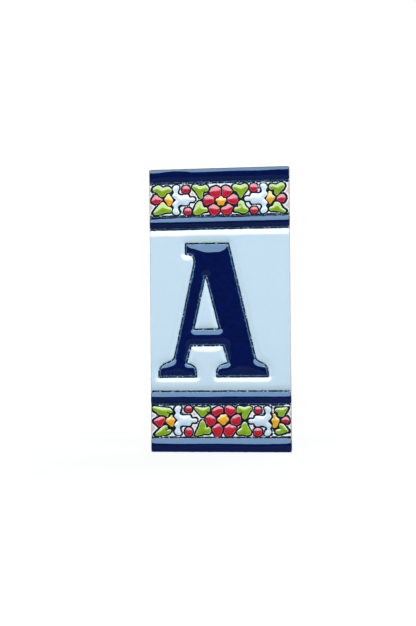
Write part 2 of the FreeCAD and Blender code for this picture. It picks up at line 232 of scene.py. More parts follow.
def inside(points, loops):
    """Whether each point is within the loops, counted by crossings."""
    odd = np.zeros(len(points), bool)
    for loop in loops:
        ax, az = loop[:, 0], loop[:, 1]
        bx, bz = np.roll(ax, -1), np.roll(az, -1)
        rise = np.where(bz == az, 1e-12, bz - az)
        for first in range(0, len(points), 4000):
            part = points[first:first + 4000]
            z = part[:, 1:2]
            cut = (az > z) != (bz > z)
            reach = ax + (z - az) * (bx - ax) / rise
            odd[first:first + 4000] ^= (np.sum(cut & (part[:, 0:1] < reach), axis=1) % 2).astype(bool)
    return odd


def solids_of(loops):
    """Loops sorted into shapes: each outer loop with the holes that lie in it."""
    order = sorted(loops, key=lambda loop: -abs(signed_area(loop)))
    way = math.copysign(1, signed_area(order[0]))
    shapes = [[loop] for loop in order if signed_area(loop) * way > 0]
    for hole in [loop for loop in order if signed_area(loop) * way < 0]:
        within = [s for s in shapes if inside(hole[:1], s[:1])[0]]
        within[-1].append(hole)
    return shapes


def evened(loop, spacing, soften):
    """Loop with points at an even spacing and its corners rounded over a short length."""
    closed = np.vstack([loop, loop[:1]])
    run = np.concatenate([[0], np.cumsum(np.linalg.norm(np.diff(closed, axis=0), axis=1))])
    count = max(12, int(round(run[-1] / spacing)))
    at = np.arange(count) * run[-1] / count
    even = np.column_stack([np.interp(at, run, closed[:, k]) for k in (0, 1)])
    reach = int(math.ceil(3 * soften / spacing))
    weights = [math.exp(-0.5 * (k * spacing / soften) ** 2) for k in range(-reach, reach + 1)]
    total = sum(w * np.roll(even, k, axis=0) for k, w in zip(range(-reach, reach + 1), weights))
    return total / sum(weights)


def normals_of(loop):
    """Unit normals of a loop's points, to the inner side."""
    along = np.roll(loop, -1, axis=0) - np.roll(loop, 1, axis=0)
    along /= np.maximum(np.linalg.norm(along, axis=1)[:, None], 1e-9)
    return np.column_stack([-along[:, 1], along[:, 0]]) * math.copysign(1, signed_area(loop))


def uneven(points, scale, seed):
    """Smooth random values from about -1 to 1 over the face, at a scale in mm."""
    return np.array([noise.noise((x / scale, z / scale, seed)) for x, z in points]) * 1.6


def wavered(loop, amount, scale, seed):
    """Loop moved in and out a little, as a poured or printed edge is."""
    return loop + normals_of(loop) * (uneven(loop, scale, seed) * amount)[:, None]


def edge_distances(points, loops):
    """Nearest distance to the loops, and a rounded distance without ridges between edges.

    The rounded one is the same near a straight edge, and comes from the sum over the
    edge of one over the cube of its distance."""
    near = np.full(len(points), 1e9)
    pull = np.zeros(len(points))
    a = np.vstack(loops)
    b = np.vstack([np.roll(loop, -1, axis=0) for loop in loops])
    length = np.maximum(np.linalg.norm(b - a, axis=1), 1e-9)
    along = (b - a) / length[:, None]
    for first in range(0, len(points), CHUNK):
        part = points[first:first + CHUNK]
        dx = part[:, 0:1] - a[:, 0]
        dz = part[:, 1:2] - a[:, 1]
        s = dx * along[:, 0] + dz * along[:, 1]
        off = np.maximum((dx * along[:, 1] - dz * along[:, 0]) ** 2, 1e-7)
        beyond = np.maximum(np.maximum(-s, s - length), 0)
        near[first:first + CHUNK] = np.sqrt(np.min(off + beyond ** 2, axis=1))
        low, high = -s, length - s
        share = high / np.sqrt(off + high ** 2) - low / np.sqrt(off + low ** 2)
        pull[first:first + CHUNK] = np.sum(share / off, axis=1)
    return near, np.sqrt(2 / np.maximum(pull, 1e-9))


def edge_rings(loops, all_loops, steps, way=1):
    """Points beside the loops at each step, where no other edge is nearer."""
    rings = []
    for loop in loops:
        side = normals_of(loop) * way
        for step in steps:
            rings.append((loop + side * step, step))
    points = np.vstack([r for r, step in rings])
    steps_at = np.concatenate([np.full(len(r), step) for r, step in rings])
    near = edge_distances(points, all_loops)[0]
    return points[near > steps_at * 0.93]


def grid(low, high, spacing):
    """Points in staggered rows over a rectangle."""
    rows = []
    for k, z in enumerate(np.arange(low[1], high[1] + spacing, spacing * 0.87)):
        xs = np.arange(low[0] - spacing * 0.5 * (k % 2), high[0] + spacing, spacing)
        rows.append(np.column_stack([xs, np.full(len(xs), z)]))
    return np.vstack(rows)


def triangulated(loops, points):
    """Triangles over the points, with the loops as edges: vertices and faces."""
    stack = list(loops)
    edges = []
    count = 0
    for loop in loops:
        edges += [(count + i, count + (i + 1) % len(loop)) for i in range(len(loop))]
        count += len(loop)
    if len(points):
        stack.append(points)
    everything = [Vector((float(x), float(z))) for x, z in np.vstack(stack)]
    made = delaunay_2d_cdt(everything, edges, [], 0, 1e-5, False)
    return np.array([(v.x, v.y) for v in made[0]]), np.array([list(f) for f in made[2]])


def filled(loops, steps, spacing):
    """Fine triangles within the loops, closest along the edge."""
    low = np.vstack(loops).min(axis=0)
    high = np.vstack(loops).max(axis=0)
    field = grid(low, high, spacing)
    field = field[inside(field, loops)]
    near = edge_distances(field, loops)[0]
    field = field[near > steps[-1] + spacing * 0.4]
    rings = [edge_rings([loop], loops, steps, 1 if i == 0 else -1) for i, loop in enumerate(loops)]
    points = np.vstack(rings + [field])
    points = points[inside(points, loops)]
    flat, faces = triangulated(loops, points)
    return flat, faces[inside(flat[faces].mean(axis=1), loops)]


# Shape of the clay face under the glaze, from the CAD body


def face_level():
    """Clay face and the flat part's half width and half height, in mm."""
    low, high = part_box("tile_body")
    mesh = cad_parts["tile_body"].data
    flat = [v.co for v in mesh.vertices if v.co.y < low.y + 1e-6]
    return low.y / MM, max(c.x for c in flat) / MM, max(c.z for c in flat) / MM


def clay_y(points, level):
    """Height of the clay under a point of the face, down over the chamfer."""
    y_face, half_width, half_height = level
    over = np.maximum(np.abs(points[:, 0]) - half_width, np.abs(points[:, 1]) - half_height)
    return y_face + np.maximum(over, 0)


# Objects


def add_object(name, vertices, faces, attributes):
    """Smooth mesh that rides on the tile, with a value per point for each attribute."""
    mesh = bpy.data.meshes.new(name)
    mesh.from_pydata([tuple(v) for v in vertices], [], [tuple(int(i) for i in f) for f in faces])
    mesh.update()
    for key, values in attributes.items():
        layer = mesh.attributes.new(key, "FLOAT", "POINT")
        layer.data.foreach_set("value", np.asarray(values, np.float32))
    mesh.polygons.foreach_set("use_smooth", np.full(len(mesh.polygons), True))
    obj = bpy.data.objects.new(name, mesh)
    bpy.context.scene.collection.objects.link(obj)
    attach(obj, "root")
    return obj


def facing_front(flat, faces):
    """Faces turned so that their normals look along -Y."""
    a, b, c = flat[faces[:, 0]], flat[faces[:, 1]], flat[faces[:, 2]]
    area = (b[:, 0] - a[:, 0]) * (c[:, 1] - a[:, 1]) - (b[:, 1] - a[:, 1]) * (c[:, 0] - a[:, 0])
    turned = faces.copy()
    turned[area < 0] = faces[area < 0][:, ::-1]
    return turned


def drop_unused(flat, faces):
    """Points that the faces use, and the faces numbered by them."""
    used, faces_new = np.unique(faces.ravel(), return_inverse=True)
    return flat[used], faces_new.reshape(faces.shape)


def spread_to_edge(loop, level, overrun, reach=0.9):
    """Outline whose sides along the tile's edge are carried on outwards by overrun."""
    out = loop.copy()
    for k, half in ((0, level[1]), (1, level[2])):
        share = np.clip((np.abs(out[:, k]) - (half - reach)) / reach, 0, 1)
        out[:, k] += np.sign(out[:, k]) * share * overrun
    return out


@lru_cache(maxsize=None)
def pool_shapes(node, corner, waver, overrun):
    """Foot outlines of a CAD node's pools as they are poured: (solid, outline) lists."""
    plan = POURS[node]
    level = face_level()
    shapes = solids_of(foot_loops(node)[0])
    drawn = []
    for i, shape in enumerate(shapes):
        loops = []
        for k, loop in enumerate(shape):
            even = evened(loop, plan.spacing[0], corner / MM)
            grown = even - normals_of(even) * plan.grow * (1 if k == 0 else -1)
            wavy = wavered(grown, waver / MM, 1.7, plan.seed + i)
            loops.append(spread_to_edge(wavy, level, overrun / MM))
        drawn.append(loops)
    return drawn


def poured(node, settings):
    """Outlines of a node's pools with the waver, corners and overrun of the settings."""
    return pool_shapes(node, settings.corner, settings.waver, settings.overrun)


def glaze_pool(node, name, settings):
    """Domed enamel over each foot outline of a CAD node, as one object.

    Where a pool meets the tile's edge, its dome runs on past it and is cut off by a
    short round, because the glaze there isn't held back by a line."""
    plan = POURS[node]
    level = face_level()
    foot = foot_loops(node)[1]
    height = (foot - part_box(node)[0].y / MM) * plan.rise
    rim_x, rim_z = (half + settings.overrun / MM for half in level[1:])
    vertices, faces, tone, edge = [], [], [], []
    count = 0
    for i, drawn in enumerate(poured(node, settings)):
        flat, triangles = filled(drawn, plan.steps, plan.spacing[1])
        wide = [spread_to_edge(loop, level, settings.run_on / MM) for loop in drawn]
        near = edge_distances(flat, drawn)[0]
        near_wide, rounded = edge_distances(flat, wide)
        rounded[near_wide < 0.004] = 0
        roll = plan.roll * (1 + settings.roll_change * uneven(flat, 14.0, plan.seed + 7.3))
        share = np.minimum(rounded / roll, 1)
        full = 1 - (1 - share) ** plan.crown
        full /= full.max()
        rim = np.minimum(rim_x - np.abs(flat[:, 0]), rim_z - np.abs(flat[:, 1]))
        rim = np.clip(rim / (settings.rim_round / MM), 0, 1)
        cut = np.sqrt(1 - (1 - rim) ** 2)
        swell = 1 + settings.swell * uneven(flat, 9.0, plan.seed + 2.1) * full
        y = clay_y(flat, level) - height * full * swell * cut
        y[near < 0.004] = clay_y(flat, level)[near < 0.004]
        vertices.append(np.column_stack([flat[:, 0], y, flat[:, 1]]) * MM)
        faces.append(facing_front(flat, triangles) + count)
        edge.append(near_wide)
        tone.append(np.full(len(flat), 0.5 + 0.5 * noise.noise((i * 3.7, plan.seed, 0.5))))
        count += len(flat)
    obj = add_object(name, np.vstack(vertices), np.vstack(faces),
                     {"tone": np.concatenate(tone), "edge": np.concatenate(edge)})
    obj.data.materials.append(enamel_material(node, plan.slot, plan.mottle, plan.fringe,
                                              plan.roughness))
    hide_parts(node)
    return obj


def groove_boxes():
    """Keying grooves of the CAD body: their x ranges, their z range and their depth, in mm."""
    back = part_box("tile_body")[1].y / MM
    corners = np.array([tuple(v.co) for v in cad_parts["tile_body"].data.vertices]) / MM
    floor = corners[(corners[:, 1] < back - 0.1) & (corners[:, 1] > back - 2)]
    xs = sorted(set(np.round(floor[:, 0], 3)))
    return list(zip(xs[::2], xs[1::2])), (floor[:, 2].min(), floor[:, 2].max()), back - floor[0, 1]


def rectangle(low, high):
    """Corners of a rectangle, in order."""
    return np.array([(low[0], low[1]), (high[0], low[1]), (high[0], high[1]), (low[0], high[1])])


def clay_body(settings):
    """Pressed clay: wavering sides, rounded back edges and soft keying grooves."""
    low, high = (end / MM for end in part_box("tile_body"))
    round_off = settings.edge_round / MM
    corner = np.array((high.x, high.z))
    outline = evened(rectangle(-corner, corner), OUTLINE_SPACING, 0.25)
    inwards = normals_of(outline)
    y_chamfer = low.y + CHAMFER
    levels = [(low.y, CHAMFER), (low.y + CHAMFER * 0.5, CHAMFER * 0.42), (y_chamfer, 0.04)]
    levels += [(y, 0.0) for y in np.linspace(y_chamfer + 0.25, high.y - round_off, SIDE_ROWS)]
    rows = []
    for y, inset in levels:
        free = min(1.0, max(y - y_chamfer, 0.0))
        waver = np.abs(uneven(outline + y, 5.0, SIDE_SEED))
        waver = waver + 0.5 * np.abs(uneven(outline - y, 1.1, PIT_SEED))
        ring = outline + inwards * (inset + waver * free * settings.waver / MM)[:, None]
        rows.append(np.column_stack([ring[:, 0], np.full(len(ring), y), ring[:, 1]]))
    edge = rows[-1][:, [0, 2]]
    back, triangles = filled([edge], BACK_STEPS, BACK_SPACING)
    near = edge_distances(back, [edge])[0]
    over = np.clip(round_off - near, 0, None)
    y = high.y - round_off + np.sqrt(np.maximum(round_off ** 2 - over ** 2, 0))
    ranges, (z_low, z_high), depth = groove_boxes()
    soft = settings.groove_soft / MM
    for x_low, x_high in ranges:
        inner = np.minimum(np.minimum(back[:, 0] - x_low, x_high - back[:, 0]),
                           np.minimum(back[:, 1] - z_low, z_high - back[:, 1]))
        t = np.clip(inner / soft + 0.5, 0, 1)
        y = y - depth * t * t * (3 - 2 * t)
    y = y - 0.04 * np.abs(uneven(back, 3.0, BACK_SEED)) * np.clip(near, 0, 1)
    count = len(outline)
    vertices = np.vstack(rows)
    faces = []
    for k in range(len(rows) - 1):
        for i in range(count):
            a, b = k * count + i, k * count + (i + 1) % count
            faces.append((a, a + count, b + count, b))
    first = len(vertices)
    vertices = np.vstack([vertices, np.column_stack([back[:, 0], y, back[:, 1]])])
    faces += [tuple(int(c) + first for c in f) for f in facing_front(back, triangles)[:, ::-1]]
    front = len(vertices)
    vertices = np.vstack([vertices, rows[0]])
    faces.append(tuple(front + i for i in range(count)))
    return add_object("clay_body", vertices * MM, faces, {})


def print_parts(shape, is_strip, pools, level, settings):
    """Printed line of one CAD outline and, in a border, its bare clay: names with meshes.

    A mesh is its points, their heights, its faces and two values per point: how far the
    line's edge is, and whether the point is on a long line between two bands."""
    low, high = shape[0].min(axis=0), shape[0].max(axis=0)
    is_long = high[0] - low[0] > level[1]
    margin = np.array([0.0 if is_long else PRINT_MARGIN, PRINT_MARGIN])
    low, high = low - margin, high + margin
    lines = [wavered(evened(loop, LINE_SPACING, LINE_SOFTNESS), settings.waver / MM, 0.9, PRINT_SEED)
             for loop in shape]
    lines = [loop + normals_of(loop) * (settings.spread / MM if k else -LINE_UNDERLAP)
             for k, loop in enumerate(lines)]
    near_pools = [p for p in pools
                  if np.all(p[0].max(axis=0) > low - 0.3) and np.all(p[0].min(axis=0) < high + 0.3)]
    pool_loops = [loop for p in near_pools for loop in p]
    rings = [edge_rings(p[:1], pool_loops, PRINT_STEPS, -1) for p in near_pools]
    rings += [edge_rings([hole], pool_loops, PRINT_STEPS, 1) for p in near_pools for hole in p[1:]]
    loops = lines + pool_loops
    if is_strip:
        loops = loops + [evened(rectangle(low, high), GROUND_SPACING, 0.02)]
        field = grid(low, high, GROUND_SPACING)
        field = field[~np.any([inside(field, p) for p in near_pools], axis=0)]
        rings.append(field[edge_distances(field, loops)[0] > 0.1])
    points = np.vstack(rings)
    within = np.all((points > low) & (points < high), axis=1)
    flat, triangles = triangulated(loops, points[within])
    middle = flat[triangles].mean(axis=1)
    in_box = np.all((middle > low) & (middle < high), axis=1)
    bare = in_box & ~np.any([inside(middle, p) for p in near_pools], axis=0)
    printed = bare & inside(middle, lines)
    kinds = [("line_print", printed)]
    if is_strip:
        kinds.append(("border_ground", bare & ~printed))
    thickness = settings.thickness / MM
    parts = []
    for name, kept in kinds:
        used, corners = drop_unused(flat, triangles[kept])
        line = edge_distances(used, lines)[0]
        rise = np.clip(line / 0.1, 0.2, 1) * thickness if name == "line_print" else 0.1 * thickness
        long_line = np.full(len(used), 1.0 if is_long else 0.0)
        if is_strip:
            inner = np.minimum(high[1] - used[:, 1], used[:, 1] - low[1])
            long_line = np.clip((0.7 - inner) / 0.1, 0, 1)
        parts.append((name, (used, clay_y(used, level) - rise, corners, line, long_line)))
    return parts


def print_sheets(settings, glaze):
    """Printed lines round every pool, and the bare clay cells of the two borders."""
    level = face_level()
    shapes = solids_of(foot_loops("outline_print")[0])
    pools = [loops for node in POURS for loops in poured(node, glaze)]
    strips = sorted(shapes, key=lambda shape: -len(shape))[:2]
    sheets = {"line_print": [], "border_ground": []}
    for shape in shapes:
        is_strip = any(shape is strip for strip in strips)
        for name, part in print_parts(shape, is_strip, pools, level, settings):
            sheets[name].append(part)
    made = []
    for name, parts in sheets.items():
        count = 0
        faces = []
        for part in parts:
            faces.append(facing_front(part[0], part[2]) + count)
            count += len(part[0])
        vertices = np.vstack([np.column_stack([p[0][:, 0], p[1], p[0][:, 1]]) for p in parts]) * MM
        fields = {key: np.concatenate([p[k] for p in parts])
                  for k, key in ((3, "line"), (4, "long_line"))}
        made.append(add_object(name, vertices, np.vstack(faces), fields))
    return made


def smooth_path(points, count):
    """Points along a smooth curve through the given ones."""
    given = np.array(points, float)
    if len(given) == 2:
        t = np.linspace(0, 1, count)[:, None]
        return given[0] * (1 - t) + given[1] * t
    ends = np.vstack([2 * given[0] - given[1], given, 2 * given[-1] - given[-2]])
    path = []
    for t in np.linspace(0, len(given) - 1.0001, count):
        k = int(t)
        u = t - k
        a, b, c, d = ends[k:k + 4]
        square = (2 * a - 5 * b + 4 * c - d) * u * u
        cube = (3 * b - a - 3 * c + d) * u ** 3
        path.append(0.5 * (2 * b + (c - a) * u + square + cube))
    return np.array(path)


def surface_finder(objects):
    """Function that gives the front surface's height at points of the face, in mm."""
    vertices, faces = [], []
    for obj in objects:
        first = len(vertices)
        vertices += [v.co.copy() for v in obj.data.vertices]
        faces += [[first + i for i in f.vertices] for f in obj.data.polygons]
    tree = BVHTree.FromPolygons(vertices, faces)
    y_face = face_level()[0]

    def find(points):
        out = []
        for x, z in points:
            hit = tree.ray_cast(Vector((x * MM, -0.02, z * MM)), Vector((0, 1, 0)), 0.03)[0]
            out.append(hit.y / MM if hit else y_face)
        return np.array(out)
    return find


def brush_stroke(path, width, find, lift):
    """Thin mark laid on the surface along a path: vertices in mm and faces."""
    along = np.gradient(path, axis=0)
    along /= np.linalg.norm(along, axis=1)[:, None]
    across = np.column_stack([-along[:, 1], along[:, 0]])
    t = np.linspace(0, 1, len(path))
    half = width / 2 * np.clip(np.minimum(t, 1 - t) / 0.18, 0.05, 1) ** 0.5
    rows = []
    for offset in (-1, -0.5, 0, 0.5, 1):
        place = path + across * (half * offset)[:, None]
        y = find(place) - lift * (1 - 0.8 * offset ** 2)
        rows.append(np.column_stack([place[:, 0], y, place[:, 1]]))
    vertices = np.stack(rows, axis=1).reshape(-1, 3)
    faces = []
    columns = len(rows)
    for i in range(len(path) - 1):
        for k in range(columns - 1):
            a = i * columns + k
            faces.append((a, a + columns, a + columns + 1, a + 1))
    return vertices, faces


def add_strokes(name, paths, width, find, lift, material):
    """Strokes of one width along paths given from the tile's foot, as one object."""
    half_height = face_level()[2] + CHAMFER
    vertices, faces = [], []
    count = 0
    for points in paths:
        placed = [(x, z - half_height) for x, z in points]
        v, f = brush_stroke(smooth_path(placed, 18), width, find, lift)
        vertices.append(v)
        faces += [tuple(i + count for i in face) for face in f]
        count += len(v)
    mesh_vertices = np.vstack(vertices) * MM
    ones = np.ones(len(mesh_vertices))
    obj = add_object(name, mesh_vertices, faces,
                     {"long_line": ones * 0, "edge": ones, "tone": ones * 0.5})
    obj.data.materials.append(material)
    return obj


# Materials


def new_material(name):
    """Material with its nodes, its links and its Principled BSDF."""
    material = bpy.data.materials.new(name)
    material.use_nodes = True
    nodes = material.node_tree.nodes
    return material, nodes, material.node_tree.links, nodes["Principled BSDF"]


def add_node(nodes, kind, place, inputs=None, **values):
    """Node at a place, with its properties and the constants of its inputs."""
    node = nodes.new(kind)
    node.location = place
    for key, value in values.items():
        setattr(node, key, value)
    for key, value in (inputs or {}).items():
        node.inputs[key].default_value = value
    return node


def new_group(name, inputs, outputs):
    """Empty shader group with its sockets, its two end nodes and its links."""
    group = bpy.data.node_groups.new(name, "ShaderNodeTree")
    for label, kind, value in inputs:
        socket = group.interface.new_socket(name=label, in_out="INPUT", socket_type=kind)
        socket.default_value = value
    for label, kind in outputs:
        group.interface.new_socket(name=label, in_out="OUTPUT", socket_type=kind)
    start = add_node(group.nodes, "NodeGroupInput", (-900, 0))
    end = add_node(group.nodes, "NodeGroupOutput", (700, 0))
    return group, start, end


def position_mm(nodes, links, place):
    """Object coordinates in millimetres."""
    where = add_node(nodes, "ShaderNodeTexCoord", place)
    scaled = add_node(nodes, "ShaderNodeVectorMath", (place[0] + 180, place[1]),
                      {"Scale": 1 / MM}, operation="SCALE")
    links.new(where.outputs["Object"], scaled.inputs[0])
    return scaled.outputs[0]


def enamel_group():
    """Glaze colour: paler where it runs thin at a ragged edge, with a soft mottle; on the panel the wide
    paler edge is also painted light that lifts the shade of its falling dome.
    """
    group, start, end = new_group(
        "Enamel Colour",
        (
            ("Full", "NodeSocketColor", (0.5, 0.5, 0.5, 1)),
            ("Thin", "NodeSocketColor", (0.7, 0.7, 0.7, 1)),
            ("Mottle", "NodeSocketFloat", 0.2),
            ("Fringe", "NodeSocketFloat", 0.2),
            ("Ragged", "NodeSocketFloat", 0.3),
        ),
        (("Color", "NodeSocketColor"), ("Normal", "NodeSocketVector")),
    )
    nodes, links = group.nodes, group.links
    mm = position_mm(nodes, links, (-1100, -250))
    edge = add_node(nodes, "ShaderNodeAttribute", (-900, 300), attribute_name="edge")
    tone = add_node(nodes, "ShaderNodeAttribute", (-900, 120), attribute_name="tone")
    cloud = add_node(nodes, "ShaderNodeTexNoise", (-700, -150),
                     {"Scale": 0.55, "Detail": 5, "Roughness": 0.65})
    links.new(mm, cloud.inputs["Vector"])
    teeth = add_node(nodes, "ShaderNodeTexNoise", (-900, 560), {"Scale": 1.7, "Detail": 3})
    links.new(mm, teeth.inputs["Vector"])
    tooth = add_node(nodes, "ShaderNodeMath", (-720, 560), {1: 0.5}, operation="SUBTRACT")
    links.new(teeth.outputs["Fac"], tooth.inputs[0])
    reach = add_node(nodes, "ShaderNodeMath", (-560, 480), operation="MULTIPLY_ADD")
    links.new(tooth.outputs[0], reach.inputs[0])
    links.new(start.outputs["Ragged"], reach.inputs[1])
    links.new(edge.outputs["Fac"], reach.inputs[2])
    low = add_node(nodes, "ShaderNodeMath", (-560, 640), {1: 0.6}, operation="MULTIPLY")
    links.new(start.outputs["Fringe"], low.inputs[0])
    fringe = add_node(nodes, "ShaderNodeMapRange", (-380, 400),
                      {"To Min": 1, "To Max": 0}, interpolation_type="SMOOTHSTEP")
    links.new(reach.outputs[0], fringe.inputs["Value"])
    links.new(low.outputs[0], fringe.inputs["From Min"])
    links.new(start.outputs["Fringe"], fringe.inputs["From Max"])
    thin = add_node(nodes, "ShaderNodeMix", (-200, 250), data_type="RGBA")
    links.new(fringe.outputs["Result"], thin.inputs["Factor"])
    links.new(start.outputs["Full"], thin.inputs["A"])
    links.new(start.outputs["Thin"], thin.inputs["B"])
    centred = add_node(nodes, "ShaderNodeMath", (-500, -100), {1: 0.5}, operation="SUBTRACT")
    links.new(cloud.outputs["Fac"], centred.inputs[0])
    offset = add_node(nodes, "ShaderNodeMath", (-500, 60), {1: 0.5, 2: -0.25}, operation="MULTIPLY_ADD")
    links.new(tone.outputs["Fac"], offset.inputs[0])
    together = add_node(nodes, "ShaderNodeMath", (-300, 0), operation="ADD")
    links.new(centred.outputs[0], together.inputs[0])
    links.new(offset.outputs[0], together.inputs[1])
    shade = add_node(nodes, "ShaderNodeMath", (-100, 0), {2: 1}, operation="MULTIPLY_ADD")
    links.new(together.outputs[0], shade.inputs[0])
    links.new(start.outputs["Mottle"], shade.inputs[1])
    final = add_node(nodes, "ShaderNodeVectorMath", (300, 150), operation="SCALE")
    links.new(thin.outputs["Result"], final.inputs[0])
    links.new(shade.outputs[0], final.inputs["Scale"])
    links.new(final.outputs[0], end.inputs["Color"])
    peel = add_node(nodes, "ShaderNodeTexNoise", (-100, -350), {"Scale": 0.8, "Detail": 2})
    links.new(mm, peel.inputs["Vector"])
    bump = add_node(nodes, "ShaderNodeBump", (200, -300), {"Strength": 0.2, "Distance": 0.00003})
    links.new(peel.outputs["Fac"], bump.inputs["Height"])
    links.new(bump.outputs["Normal"], end.inputs["Normal"])
    return group


def clay_group():
    """Fired clay: pink-beige with grain, darker pits, paler by its Pale Amount, and its bump."""
    group, start, end = new_group(
        "Fired Clay",
        (
            ("Base", "NodeSocketColor", (0.60, 0.47, 0.42, 1)),
            ("Pale", "NodeSocketColor", (0.80, 0.74, 0.70, 1)),
            ("Pale Amount", "NodeSocketFloat", 0.0),
        ),
        (("Color", "NodeSocketColor"), ("Normal", "NodeSocketVector")),
    )
    nodes, links = group.nodes, group.links
    mm = position_mm(nodes, links, (-1100, -250))
    grain = add_node(nodes, "ShaderNodeTexNoise", (-700, 100),
                     {"Scale": 2.2, "Detail": 6, "Roughness": 0.7})
    links.new(mm, grain.inputs["Vector"])
    broad = add_node(nodes, "ShaderNodeTexNoise", (-700, 350), {"Scale": 0.12, "Detail": 3})
    links.new(mm, broad.inputs["Vector"])
    pits = add_node(nodes, "ShaderNodeTexVoronoi", (-700, -300), {"Scale": 0.9})
    links.new(mm, pits.inputs["Vector"])
    speck = add_node(nodes, "ShaderNodeMapRange", (-500, -300),
                     {"From Min": 0.06, "From Max": 0.14, "To Min": 1, "To Max": 0})
    links.new(pits.outputs["Distance"], speck.inputs["Value"])
    ramp = add_node(nodes, "ShaderNodeMapRange", (-500, 100),
                    {"From Min": 0.3, "From Max": 0.7, "To Min": 0.86, "To Max": 1.12})
    links.new(grain.outputs["Fac"], ramp.inputs["Value"])
    wide = add_node(nodes, "ShaderNodeMapRange", (-500, 350),
                    {"From Min": 0.3, "From Max": 0.7, "To Min": 0.94, "To Max": 1.05})
    links.new(broad.outputs["Fac"], wide.inputs["Value"])
    both = add_node(nodes, "ShaderNodeMath", (-300, 200), operation="MULTIPLY")
    links.new(ramp.outputs[0], both.inputs[0])
    links.new(wide.outputs[0], both.inputs[1])
    pale = add_node(nodes, "ShaderNodeMix", (-300, 0), data_type="RGBA")
    links.new(start.outputs["Pale Amount"], pale.inputs["Factor"])
    links.new(start.outputs["Base"], pale.inputs["A"])
    links.new(start.outputs["Pale"], pale.inputs["B"])
    shaded = add_node(nodes, "ShaderNodeVectorMath", (-80, 100), operation="SCALE")
    links.new(pale.outputs["Result"], shaded.inputs[0])
    links.new(both.outputs[0], shaded.inputs["Scale"])
    darken = add_node(nodes, "ShaderNodeMath", (-80, -150), {1: -0.22, 2: 1}, operation="MULTIPLY_ADD")
    links.new(speck.outputs[0], darken.inputs[0])
    final = add_node(nodes, "ShaderNodeVectorMath", (150, 100), operation="SCALE")
    links.new(shaded.outputs[0], final.inputs[0])
    links.new(darken.outputs[0], final.inputs["Scale"])
    links.new(final.outputs[0], end.inputs["Color"])
    level = add_node(nodes, "ShaderNodeMath", (-80, -400), {1: -0.6}, operation="MULTIPLY_ADD")
    links.new(speck.outputs[0], level.inputs[0])
    links.new(grain.outputs["Fac"], level.inputs[2])
    bump = add_node(nodes, "ShaderNodeBump", (200, -350), {"Strength": 0.6, "Distance": 0.00008})
    links.new(level.outputs[0], bump.inputs["Height"])
    links.new(bump.outputs["Normal"], end.inputs["Normal"])
    return group


def line_group():
    """Printed line: dark, with breaks in the long lines between the bands."""
    group, start, end = new_group(
        "Printed Line",
        (
            ("Dark", "NodeSocketColor", (0.002, 0.011, 0.022, 1)),
            ("Pale", "NodeSocketColor", (0.42, 0.52, 0.56, 1)),
            ("Breaks", "NodeSocketFloat", 0.63),
        ),
        (("Color", "NodeSocketColor"),),
    )
    nodes, links = group.nodes, group.links
    mm = position_mm(nodes, links, (-1100, -250))
    long_line = add_node(nodes, "ShaderNodeAttribute", (-900, 200), attribute_name="long_line")
    broken = add_node(nodes, "ShaderNodeTexNoise", (-700, -200), {"Scale": 1.7, "Detail": 3})
    links.new(mm, broken.inputs["Vector"])
    cut = add_node(nodes, "ShaderNodeMath", (-450, -100), operation="GREATER_THAN")
    links.new(broken.outputs["Fac"], cut.inputs[0])
    links.new(start.outputs["Breaks"], cut.inputs[1])
    gap = add_node(nodes, "ShaderNodeMath", (-200, 0), operation="MULTIPLY")
    links.new(cut.outputs[0], gap.inputs[0])
    links.new(long_line.outputs["Fac"], gap.inputs[1])
    mixed = add_node(nodes, "ShaderNodeMix", (200, 100), data_type="RGBA")
    links.new(gap.outputs[0], mixed.inputs["Factor"])
    links.new(start.outputs["Dark"], mixed.inputs["A"])
    links.new(start.outputs["Pale"], mixed.inputs["B"])
    links.new(mixed.outputs["Result"], end.inputs["Color"])
    return group


def colour_node(nodes, name, make, inputs):
    """Node of a shared colour group, which is made the first time it is asked for."""
    node = add_node(nodes, "ShaderNodeGroup", (-300, 200))
    node.node_tree = bpy.data.node_groups.get(name) or make()
    for key, value in inputs.items():
        node.inputs[key].default_value = value
    return node


def enamel_material(name, slot, mottle, fringe, roughness):
    """Fired glaze in the slot's colours; its reflections carry a painted tint that stands in for the
    colour of the light in its highlights.
    """
    material, nodes, links, shader = new_material("glazed_" + name)
    ragged, painted_highlight_tint = ENAMELS[slot]
    colours = bpy.context.scene.plaque_enamel
    colour = colour_node(nodes, "Enamel Colour", enamel_group, {
        "Full": (*getattr(colours, slot), 1),
        "Thin": (*getattr(colours, slot + "_thin"), 1),
        "Mottle": mottle,
        "Fringe": fringe,
        "Ragged": ragged,
    })
    links.new(colour.outputs["Color"], shader.inputs["Base Color"])
    links.new(colour.outputs["Normal"], shader.inputs["Normal"])
    shader.inputs["Roughness"].default_value = roughness
    shader.inputs["IOR"].default_value = 1.9
    shader.inputs["Specular IOR Level"].default_value = 0.66
    # Specular tint: painted colour of the highlights, in place of the light's own colour
    shader.inputs["Specular Tint"].default_value = (*painted_highlight_tint, 1)
    return material


def clay_material(name, near_line=None):
    """Bare clay, paler where the attribute near_line says that a printed line is close."""
    material, nodes, links, shader = new_material(name)
    colour = colour_node(nodes, "Fired Clay", clay_group, {})
    if near_line:
        near = add_node(nodes, "ShaderNodeAttribute", (-700, 100), attribute_name=near_line)
        fade = add_node(nodes, "ShaderNodeMapRange", (-500, 100),
                        {"From Min": 0.2, "From Max": 0.65, "To Min": 1.0, "To Max": 0.0})
        links.new(near.outputs["Fac"], fade.inputs["Value"])
        links.new(fade.outputs["Result"], colour.inputs["Pale Amount"])
        colour.inputs["Pale"].default_value = (0.84, 0.85, 0.91, 1)
    links.new(colour.outputs["Color"], shader.inputs["Base Color"])
    links.new(colour.outputs["Normal"], shader.inputs["Normal"])
    shader.inputs["Roughness"].default_value = 0.75
    return material


